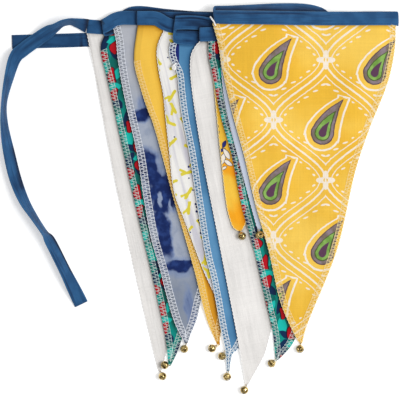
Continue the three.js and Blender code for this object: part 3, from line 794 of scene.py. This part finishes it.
# Spun thread with a pale fuzz.
def threadMaterial(name, code):
    material, tree, shader = newMaterial(name)
    fuzz = noise(addNode(tree, "ShaderNodeTexCoord", {}, {}, 3), 900.0, 2.0).step(0.55, 0.8)
    feed(shader, {"Base Color": over(code, "FFFFFF", fuzz * 0.25), "Roughness": 0.75,
                  "Sheen Weight": 0.2})
    return material


# Brass in random patches of pale brass and dark brown, the dark ones painted dark reflections;
# rougher where they are dark, and bumped by the same patches.
def brassMaterial():
    material, tree, shader = newMaterial("brassWithPaintedReflections")
    place = addNode(tree, "ShaderNodeTexCoord", {}, {}, 3)
    spots = addNode(tree, "ShaderNodeTexNoise", {}, {"Vector": place, "Scale": 420.0, "Detail": 3.0})
    # The dark brown patches are painted dark reflections.
    feed(shader, {"Base Color": over("D8BE80", "3E2E14", spots.step(0.44, 0.66)),
                  "Roughness": 0.16 + spots.step(0.35, 0.7) * 0.3, "Metallic": 1.0,
                  "Normal": bumped(spots, 0.25, 0.0002)})
    return material


print("materials")
fabrics = {
    "a": clothMaterial("whiteLinen", "E9E6E3", slub=0.08, depth=0.6, shade=0.22, shadeUnder=0,
                       wrinkle=6.0),
    "b": clothMaterial("tealCotton", "008A80", tealPrint, shadeUnder=0.1),
    "c": clothMaterial("indigoCotton", "B2B5BD", indigoDye, shadeUnder=0.35),
    "d": clothMaterial("mustardCotton", "F2C24A", mustardCloth, lean=14, shadeUnder=0.1),
    "e": clothMaterial("limeCotton", "EEECE8", limePrint, lean=14, shadeUnder=0),
    "g": clothMaterial("skyCotton", "6296BE", skyCloth),
    "i": clothMaterial("smallYellowCotton", "F4C444", smallPrint, lean=10, shadeUnder=0.05),
    "k": clothMaterial("lilacCotton", "C6CEDE", shadeUnder=0),
    "l": clothMaterial("yellowCotton", "EBB838", ogeePrint, lean=0, slub=0.1, depth=0.6, shade=0.16,
                       shadeUnder=0.08),
}
fabrics["h"], fabrics["j"] = fabrics["a"], fabrics["b"]
threads = {key: threadMaterial("thread_" + key, code) for key, code in {
    "a": "ECE9E6", "b": "DCF2EC", "c": "E6EAF2", "d": "F8DA94", "e": "F0EEEA", "g": "E8F0F6",
    "h": "F2F0EE", "i": "F8DC90", "j": "E2F0EC", "k": "C6CEDE", "l": "FAE2A0"}.items()}
tapeCotton, brassWithPaintedReflections = tapeMaterial(), brassMaterial()


# Flags

# Small uneven waves along an edge: three sines of different lengths.
def waviness(s, seed):
    return (np.sin(s / 2.9 + seed) + 0.8 * np.sin(s / 1.7 + 2.1 * seed)
            + 1.2 * np.sin(s / 6.3 + 0.7 * seed)) / 3


# A flag's middle surface: straight between its side edges at each share of their length, its top
# row on its tape's lower edge, at its layer's height, with small waves where its edge is sewn.
def flagSurface(key, rows, cols):
    seed = ord(key)
    left, right = sideEdges(flags[key])
    v = np.linspace(0, 1, rows) ** 1.05
    l, r = atShares(left, v), atShares(right, v)
    even = np.linspace(0, 1, cols)
    u = smooth(even) * 0.35 + even * 0.65
    plan = l[:, None] * (1 - u)[None, :, None] + r[:, None] * u[None, :, None]
    pull = np.maximum(0, 1 - v / 0.12)[:, None]
    lower = passHeight(passes[key], plan[..., 0]) - tape["width"] / 2 + 1.0
    plan[..., 1] += pull * (lower[0] - plan[0, :, 1])[None, :]
    width = np.linalg.norm(r - l, axis=1)[:, None]
    fromLeft, fromRight = u[None, :] * width, (1 - u)[None, :] * width
    s = along(l)[:, None]
    wave = cloth["wave"] * (np.exp(-((fromLeft / cloth["waveReach"]) ** 2)) * waviness(s, seed)
                            + np.exp(-((fromRight / cloth["waveReach"]) ** 2)) * waviness(s, seed + 3))
    fade = smooth(v / 0.06)[:, None]
    z = heights.at(key, plan[..., 0], plan[..., 1]) + cloth["seat"] + wave * fade
    return np.dstack([plan, z])


# The place on a surface's grid at a row share v and a distance in from one side.
def onSurface(surface, v, inward, side):
    rows, cols = surface.shape[:2]
    i = np.clip(v * (rows - 1), 0, rows - 1.001)
    a, f = i.astype(int), (i - i.astype(int))[:, None, None]
    row = surface[a] * (1 - f) + surface[a + 1] * f
    if side > 0:
        row = row[:, ::-1]
    s = np.concatenate([np.zeros((len(v), 1)), np.cumsum(
        np.linalg.norm(np.diff(row, axis=1), axis=2), axis=1)], axis=1)
    inward = np.minimum(inward, s[:, -1] * 0.48)
    k = np.clip((s < inward[:, None]).sum(1) - 1, 0, cols - 2)
    n = np.arange(len(v))
    t = ((inward - s[n, k]) / (s[n, k + 1] - s[n, k] + 1e-9))[:, None]
    return row[n, k] * (1 - t) + row[n, k + 1] * t


# Three-thread overlocking along one side: a looper thread that zigzags between the cloth's edge
# and the needle line on both faces, the needle line itself, and a chain round the edge. A flag
# with matching thread has the chain alone, made thicker.
def overlockParts(surface, side, seed, width, radius, start, full):
    edge = surface[:, 0 if side < 0 else -1]
    s = along(edge)
    first = start * s[-1]
    count = int((s[-1] - first) / overlock["pitch"])
    rng = np.random.default_rng(seed)

    # One thread: its ways in from the edge and up at each place, given in stitches from the first.
    def thread(t, inward, high, radius, flatten=1.0):
        share = np.interp(first + t * overlock["pitch"], s, np.linspace(0, 1, len(s)))
        place = onSurface(surface, share, inward, side)
        place[:, 2] += high
        return tubes(place, radius, overlock["sides"], flatten)

    # A thread that waves in and up by its own amounts in each stitch.
    def waving(face, inward, swing, rise, perStitch, radius):
        t = np.arange(count * perStitch + 1) / perStitch
        wave = 2 * math.pi * (t + 0.25)
        return thread(t, inward + swing * np.sin(wave),
                      face * (overlock["lift"] + rise * np.cos(wave)), radius)

    parts = [waving(0, 0.05, 0.3, 0, 4, radius * (1 if full else 1.7))]
    t = np.arange(count * 6 + 1) / 6
    zig = np.abs(t % 1 * 2 - 1)
    for face in (1, -1) if full else ():
        jitter = np.interp(t, np.arange(count + 2), rng.normal(0, 1, count + 2))
        inward = 0.2 + (width - 0.2) * smooth(zig * 1.2 - 0.1) * (1 + 0.035 * jitter)
        high = face * (overlock["lift"] + 0.15 * np.sin(zig * math.pi))
        parts += [thread(t + 0.05 * jitter, inward, high, radius * 0.9, 0.8),
                  waving(face, width * 0.96, 0.15, 0.1, 3, radius * 0.85),
                  waving(face, width * 0.5, 0.35, 0.15, 4, radius * 0.75)]
    return parts


# Loose ends of sewing chain that lie on a flag: the places they pass, each with its height over
# the cloth.
looseEnds = {
    "g": [[-20.6, 122.5, 0.8], [-22.4, 120.9, 1.2], [-24.0, 119.2, 1.0], [-22.6, 117.4, 1.6],
          [-21.2, 118.8, 1.9], [-22.8, 120.4, 2.2], [-23.8, 118.0, 2.4], [-21.8, 116.6, 2.0],
          [-22.0, 118.6, 2.8], [-23.2, 119.2, 3.0], [-22.2, 117.2, 2.8], [-21.6, 119.4, 2.6]],
    "l": [[14.4, 155.0, 1.2], [13.2, 158.4, 1.6], [11.4, 161.0, 1.6], [9.8, 163.2, 1.2]],
}


# Two strands wound round each other along a line.
def twistedCord(line, radius):
    s = along(line)[:, None]
    out = []
    for phase in (0, math.pi):
        wind = s * 2.4 + phase
        shift = np.hstack([0.5 * np.cos(wind), 0.5 * np.sin(wind), 0.35 * np.sin(wind * 0.8)])
        out.append(tubes(line + shift * radius * 1.6, radius, 6))
    return out


pieces = {}


# A flag's cloth as a sheet with its own thickness, its overlocking and its loose end of chain. Its
# flat size is measured along the cloth.
def makeFlag(key):
    name = flags[key]["name"]
    rows, cols = (72, 28) if key in "ik" else (110, 44)
    surface = flagSurface(key, rows, cols)
    uv = surface[..., :2]
    run = np.cumsum(np.linalg.norm(np.diff(surface, axis=1, prepend=surface[:, :1]), axis=2), axis=1)
    width = overlock["wide"].get(key, overlock["width"])
    shade = contactShade(uv, list(flags).index(key) + 1, bandOf(passes[key], tape["width"]))
    obj = makeObject(name + "_cloth", placed(surface), gridFaces(rows, cols)[:, ::-1],
                     (uv - planMiddle) * mm, fabrics[key],
                     {"edge": np.minimum(run, run[:, -1:] - run) / width, "shade": shade})
    thicken(obj, cloth["thick"], 0)

    # One piece of the flag's sewing from its threads.
    def sewn(kind, parts, material):
        points, faces = joined(parts)
        return makeObject(name + kind, placed(points), faces[:, ::-1], None, material)

    parts = []
    for side, seed, start in (-1, 0, overlock["start"].get(key, 0)), (1, 7, 0):
        parts += overlockParts(surface, side, ord(key) + seed, width, threadSize[key], start,
                               key not in chainOnly)
    sewing = [sewn("_overlock", parts, threads[key])]
    if key in looseEnds:
        at = curveThrough(looseEnds[key], 8)
        at[:, 2] += heights.at(key, at[:, 0], at[:, 1]) + cloth["seat"]
        sewing.append(sewn("_loose_end", twistedCord(at, overlock["loose"]), threads["h"]))
    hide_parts(name)
    across = np.linalg.norm(np.diff(surface, axis=1), axis=2).sum(1)
    down = along(surface[:, cols // 2])
    pieces[key] = {"cloth": obj, "sewing": sewing, "surface": surface,
                   "flat": (float(across[0]) * mm, float(down[-1]) * mm),
                   "area": float(np.trapz(across, down)) * mm * mm}


print("flags")
for key in flags:
    makeFlag(key)


# The binding tape

# A tape's closed skin from its middle surface: rings of points round it, flat in the middle,
# round at the edges, with a shallow furrow where its stitch line runs.
def tapeSkin(middle, normal):
    angle = np.arange(tape["round"]) / tape["round"] * 2 * math.pi
    c, s = np.cos(angle), np.sin(angle)
    side = np.sign(c) * np.abs(c) ** 0.42
    thick = np.sign(s) * np.abs(s) ** 0.7
    furrow = 1 - 0.4 * np.exp(-(((side + 0.76) / 0.07) ** 2))
    offset = thick * furrow * tape["thick"] / 2
    side = side * (tape["width"] / 2)
    return middle(side) + normal[:, None] * offset[None, :, None], side


# The tape's own map: the length along it and the place across it.
def tapeMap(lengths, side):
    return np.dstack(np.broadcast_arrays(lengths[:, None], side[None]))


# Folds pressed along the tape: the pass, where the fold starts and ends as shares of its length,
# its place across the tape at both ends, its half width, its depth and the strength of the painted
# shade in it.
tapeFolds = [
    ["b", 0.00, 0.80, 0.6, 2.6, 2.6, 0.25, 0.95],
    ["b", 0.00, 0.45, -2.0, -1.0, 2.0, 0.20, 0.80],
    ["c", 0.45, 0.62, -4.0, 3.5, 0.7, 0.20, 0.55],
    ["d", 0.10, 0.92, 5.0, 4.4, 0.8, 0.15, 0.45],
    ["e", 0.04, 0.40, 2.2, -1.0, 0.8, 0.20, 0.75],
    ["e", 0.10, 0.36, -2.4, -3.6, 0.7, 0.20, 0.65],
    ["h", 0.00, 0.36, 4.0, 3.4, 0.8, 0.25, 1.00],
    ["h", 0.02, 0.30, 1.2, -0.4, 0.8, 0.25, 0.90],
    ["h", 0.05, 0.34, -2.2, -3.6, 0.9, 0.25, 1.00],
    ["g", 0.70, 0.98, 3.0, 1.6, 0.7, 0.20, 0.60],
    ["g", 0.78, 0.96, -2.0, -3.0, 0.6, 0.15, 0.40],
    ["j", 0.04, 0.30, 3.4, 2.0, 0.6, 0.20, 0.60],
    ["l", 0.00, 0.55, 3.6, 4.2, 0.6, 0.15, 0.50],
    ["l", 0.02, 0.30, 0.6, 1.2, 0.5, 0.10, 0.35],
    ["tieFront", 0.08, 0.24, -3.0, 2.0, 1.2, 0.15, 0.45],
    ["tieFront", 0.30, 0.46, 1.0, -2.0, 1.6, 0.15, 0.40],
    ["tieFront", 0.50, 0.64, -6.0, -3.5, 2.2, 0.15, 0.75],
    ["tieFront", 0.60, 0.79, 3.5, -1.0, 1.0, 0.15, 0.40],
    ["tieFront", 0.77, 0.92, -4.6, -6.2, 1.3, 0.15, 0.95],
    ["tieFront", 0.82, 0.99, 4.8, 4.6, 0.7, 0.10, 0.35],
    ["tieBack", 0.50, 0.99, 5.0, 4.8, 0.7, 0.10, 0.35],
]


# How deep the folds of a pass are, and how much painted shade lies in them, at each share of its
# length and place across it: a bell-shaped trough that wanders a little and dies out at both ends.
def foldsOf(key, share, side):
    depth, foldShade = np.zeros(np.broadcast(share, side).shape), 0.0
    for name, first, last, a, b, width, deep, shade in tapeFolds:
        if name != key:
            continue
        t = (share - first) / (last - first)
        middle = a + (b - a) * np.clip(t, 0, 1) + 0.3 * np.sin(share * 40 + a)
        trough = np.exp(-(((side - middle) / width) ** 2)) * smooth(t * 6 + 0.5) * smooth((1 - t) * 6)
        depth = depth + deep * trough
        foldShade = np.maximum(foldShade, shade * trough)
    return depth, foldShade


# The tape's own run: every pass with its turn. Each station has a middle surface across the tape
# and a facing direction, which turns over at each end.
def bindingSkin():
    rings, uvs, shades, run = [], [], [], 0.0
    half = tape["width"] / 2
    lines = {**passes, "tieBack": tieBackLine}
    for n, (key, nextKey) in enumerate(zip(lines, [*lines][1:])):
        line = curveThrough(passes[key], 10)
        stations = max(20, int(along(line)[-1] / tape["step"]))
        line = atShares(line, np.linspace(0, 1, stations))
        d = np.gradient(line, axis=0)
        across = np.stack([-d[:, 1], d[:, 0]], 1) / np.linalg.norm(d, axis=1)[:, None]
        across *= np.sign(across[:, 1:])
        facing = 1 if n % 2 == 0 else -1
        s = along(line)
        wobble = 0.12 * waviness(s * 1.3, n) + 0.08 * waviness(s * 2.9, n + 4)
        share = (s / s[-1])[:, None]

        def middle(side, line=line, across=across, key=key, wobble=wobble, share=share):
            x, y = line[:, :1] + across[:, :1] * side, line[:, 1:] + across[:, 1:] * side
            z = heights.at(key, x, y) + tape["seat"] + wobble[:, None] * np.cos(side / half * 1.5)
            return np.dstack([x, y, z - foldsOf(key, share, side)[0]])

        normal = np.tile([0.0, 0.0, facing], (stations, 1))
        points, side = tapeSkin(middle, normal)
        # Painted shade in the folds, which joins the contact shade.
        foldShade = foldsOf(key, share, side)[1] + np.zeros((stations, len(side)))
        turn = turnRings(key, line[-1], across[-1], nextKey, lines[nextKey][0], facing, d[-1])
        rings += [points, turn]
        shades += [np.maximum(contactShade(points, n + 1), foldShade), contactShade(turn, n + 2)]
        uvs += [tapeMap(run + s, side),
                tapeMap(run + s[-1] + np.linspace(0, tape["turnRun"], len(turn)), side)]
        run += s[-1] + tape["turnRun"]
    return np.vstack(rings), np.vstack(uvs), np.vstack(shades)


# A turn: half a circle from one pass's height to the next one's, while the tape shifts in the
# plan from one middle line to the other.
def turnRings(key, end, across, nextKey, start, facing, heading):
    angles = np.linspace(0, math.pi, 11)[1:-1]
    out = np.sign(heading[0])
    share = (1 - np.cos(angles))[:, None] / 2

    def middle(side):
        x0, y0 = end[0] + across[0] * side, end[1] + across[1] * side
        x1, y1 = start[0] + 0 * side, start[1] + side
        z0 = heights.at(key, x0, y0) + tape["seat"]
        z1 = heights.at(nextKey, x1, y1) + tape["seat"]
        swell = np.minimum(np.abs(z1 - z0) / 2, tape["turnOut"])
        return np.dstack([x0 + (x1 - x0) * share + out * swell * np.sin(angles)[:, None],
                          y0 + (y1 - y0) * share, z0 + (z1 - z0) * share])

    rise = 1 if nextKey != "tieBack" else -1
    normal = np.stack([-facing * rise * out * np.sin(angles), 0 * angles, facing * np.cos(angles)], 1)
    return tapeSkin(middle, normal)[0]


# A length of tape from its rings: a sheet as long as its map, in place of its solid.
def makeTape(name, node, skin):
    points, uv, shade = skin
    obj = makeObject(name, placed(points), closedRings(*points.shape[:2]), uv * mm, tapeCotton,
                     {"shade": shade})
    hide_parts(node)


print("tape")
makeTape("binding_tape", "binding", bindingSkin())


# A free tie: the same tape along its own line, turned about that line where it stands on edge,
# as high as what it lies on, with its folds pressed in.
def tieSkin(key, line, turn, ground):
    d = np.gradient(line, axis=0)
    d /= np.linalg.norm(d, axis=1)[:, None]
    across = np.stack([d[:, 1], -d[:, 0]], 1)
    c, s = np.cos(turn), np.sin(turn)
    high = ground + tape["width"] / 2 * s + tape["thick"] / 2 * c + 0.1
    length = along(line)
    share = (length / length[-1])[:, None]
    ripple = 0.1 * waviness(length * 1.1, 2)

    def middle(side):
        x, y = [line[:, k, None] + across[:, k, None] * c[:, None] * side for k in (0, 1)]
        z = high[:, None] + s[:, None] * side + (ripple * c)[:, None]
        return np.dstack([x, y, z - foldsOf(key, share, side)[0] * c[:, None]])

    points, side = tapeSkin(middle, np.stack([-across[:, 0] * s, -across[:, 1] * s, c], 1))
    shade = np.maximum(contactShade(points, 0), foldsOf(key, share, side)[1])
    return points, tapeMap(length, side), shade


# The back tie has a painted shade line where one sharp crease crosses it, and a little painted shade all
# over, as it lies under the pile. The front one rises over it.
tieBackCreaseShadeAt = -105.5
backLine = atShares(curveThrough(tieBackLine, 12), np.linspace(0.007, 1, 150))
level = np.zeros(len(backLine))
points, uv, shade = tieSkin("tieBack", backLine, level, level)
# Painted shade: a little all over the tie, and a dark line along the crease.
shade = np.maximum(shade, 0.2) + 0.9 * np.exp(-(((points[..., 0] - tieBackCreaseShadeAt) / 0.7) ** 2))
makeTape("tie_back_tape", "tie_back", (points, uv, shade))

path = curveThrough(tieFront, 14)
length = along(path[:, :2])
path = np.stack([np.interp(np.linspace(0, length[-1], 190), length, path[:, k]) for k in range(3)], 1)
away = np.min([np.hypot(path[:, 0] - x, path[:, 1] - y) for x, y in backLine], axis=0)
ground = (tape["pitch"] + 0.3) * (1 - smooth((away - tape["width"] / 2 - 8) / 14))
turn = np.radians(np.maximum(path[:, 2], 0))
makeTape("tie_front_tape", "tie_front", tieSkin("tieFront", path[:, :2], turn, ground))


# Bells

# A thin round shell: a sphere with a raised seam round its middle and a cross of slits in its lower
# half that end in round holes. Up is the bell's own axis.
def bellMesh():
    around, rings = 48, 30
    polar = np.linspace(0.001, math.pi - 0.001, rings)[:, None]
    turn = (np.arange(around) / around * 2 * math.pi)[None, :]
    radius = bell["radius"] - 0.15 + bell["seam"] * np.exp(-(((polar - math.pi / 2) / 0.07) ** 2))
    points = np.dstack([radius * np.sin(polar) * np.cos(turn), radius * np.sin(polar) * np.sin(turn),
                        radius * np.cos(polar) + 0 * turn]).reshape(-1, 3)
    faces = closedRings(rings, around)
    x, y, z = points[faces].mean(1).T
    x, y = np.abs(x), np.abs(y)
    slit = (x < bell["slit"]) | (y < bell["slit"])
    reach = bell["radius"] * 0.86
    hole = np.minimum(np.hypot(x - reach, y), np.hypot(x, y - reach)) < bell["hole"]
    cut = (z < -0.35 * bell["radius"]) & slit | hole & (z < -0.2)
    return points, faces[~cut][:, ::-1]


# The wire shank: a closed ring standing on the top of the bell.
def shankMesh():
    angle = np.linspace(0, 2 * math.pi, 21)
    side = np.stack([np.cos(angle), 0 * angle, np.sin(angle)], 1)
    ring = bell["ring"] * side + [0, 0, bell["radius"] + bell["ring"] * 0.55]
    turn = (np.arange(8) / 8 * 2 * math.pi)[None, :, None]
    points = ring[:, None] + bell["shank"] / 2 * (side[:, None] * np.cos(turn)
                                                  + np.array([0, 1.0, 0]) * np.sin(turn))
    return points, gridFaces(len(angle), 8, closed=True)


# A bell on the highest of the layers under it, turned so that its shank faces the flag's tip, and
# two loops of thread from the shank to the tip. Returns the loops.
def makeBell(key):
    at = np.array(flags[key]["bellAt"], float)[:, None]
    tipPlace = pieces[key]["surface"][-1].mean(0)
    rest = 0.0
    for k in list(flags)[:list(flags).index(key)]:
        surface = pieces[k]["surface"]
        if outside(*at, np.vstack([surface[:, 0, :2], surface[::-1, -1, :2]]))[0] < 1.5:
            rest = max(rest, float(heights.at(k, *at)[0]) + bell["over"])
    centre = np.array([*at[:, 0], rest + bell["radius"]])
    axis = Vector(tipPlace - centre).normalized()
    turn = np.array(Vector((0, 0, 1)).rotation_difference(axis).to_matrix())
    c, s = math.cos(ord(key)), math.sin(ord(key))
    spin = np.array([[c, -s, 0], [s, c, 0], [0, 0, 1]])
    parts = {}
    for kind, (points, faces) in {"_shell": bellMesh(), "_shank": shankMesh()}.items():
        parts[kind] = makeObject("bell_" + key + kind, placed(points @ spin.T @ turn.T + centre), faces,
                                 None, brassWithPaintedReflections)
    thicken(parts["_shell"], bell["wall"], -1)
    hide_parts("bell_" + key)
    axis = np.array(axis)
    top = centre + axis * (bell["radius"] + bell["ring"] * 1.2)
    long = np.linalg.norm(top - tipPlace) / 2 + 0.9
    angle = np.linspace(0, 2 * math.pi, 17)[:, None]
    loops = []
    for lean in (-0.5, 0.5):
        sideways = np.cross(axis, [0.3 * lean, lean, 1.0])
        sideways /= np.linalg.norm(sideways)
        loop = (top + tipPlace) / 2 + axis * long * np.cos(angle) + sideways * 0.8 * np.sin(angle)
        loops.append(tubes(loop, bell["thread"], 6))
    points, faces = joined(loops)
    return makeObject("bell_" + key + "_thread", placed(points), faces[:, ::-1], None, threads[key])


print("bells")
order = list(flags)
for n, key in enumerate(order):
    tie = makeBell(key)


# Floor, light and camera, in metres

studio = {"floor": "F1F1F1", "half": 6.0, "eye": (0.0006, 0.0002, 2.4), "view": 0.36,
          "sensor": 36.0, "world": 0.42, "glow": 0.32}
lamps = {"key": {"place": (0.95, -0.05, 1.4), "size": 0.8, "power": 19.5},
         "fill": {"place": (-0.8, 0.7, 1.3), "size": 1.4, "power": 4.0}}


# An object that isn't part of the bunting, at its place in the scene.
def staged(name, data, place):
    obj = bpy.data.objects.new(name, data)
    obj.location = place
    bpy.context.collection.objects.link(obj)
    return obj


# A pale floor that glows a little, two lamps that face the middle, and a camera straight above,
# whose focal length is its sensor times its height over the width it sees.
def makeStage():
    far = studio["half"]
    mesh = bpy.data.meshes.new("studio_floor")
    mesh.from_pydata([(-far, -far, 0), (far, -far, 0), (far, far, 0), (-far, far, 0)], [],
                     [(0, 1, 2, 3)])
    material, _, shader = newMaterial("paperFloor")
    feed(shader, {"Base Color": colour(studio["floor"]), "Roughness": 0.9,
                  "Emission Color": (1, 1, 1, 1), "Emission Strength": studio["glow"]})
    mesh.materials.append(material)
    staged("studio_floor", mesh, (0, 0, 0))
    scene = bpy.context.scene
    scene.view_settings.view_transform = "Standard"
    scene.world = bpy.data.worlds.new("studio")
    scene.world.use_nodes = True
    feed(scene.world.node_tree.nodes["Background"], {0: (1, 1, 1, 1), 1: studio["world"]})
    for name, lamp in lamps.items():
        light = bpy.data.lights.new(name, "AREA")
        light.size, light.energy = lamp["size"], lamp["power"]
        facing = (-Vector(lamp["place"])).to_track_quat("-Z", "Y").to_euler()
        staged(name, light, lamp["place"]).rotation_euler = facing
    camera = bpy.data.cameras.new("camera")
    camera.sensor_width = studio["sensor"]
    camera.lens = studio["sensor"] * studio["eye"][2] / studio["view"]
    camera.clip_end = 50
    scene.camera = staged("camera", camera, studio["eye"])


print("stage")
makeStage()
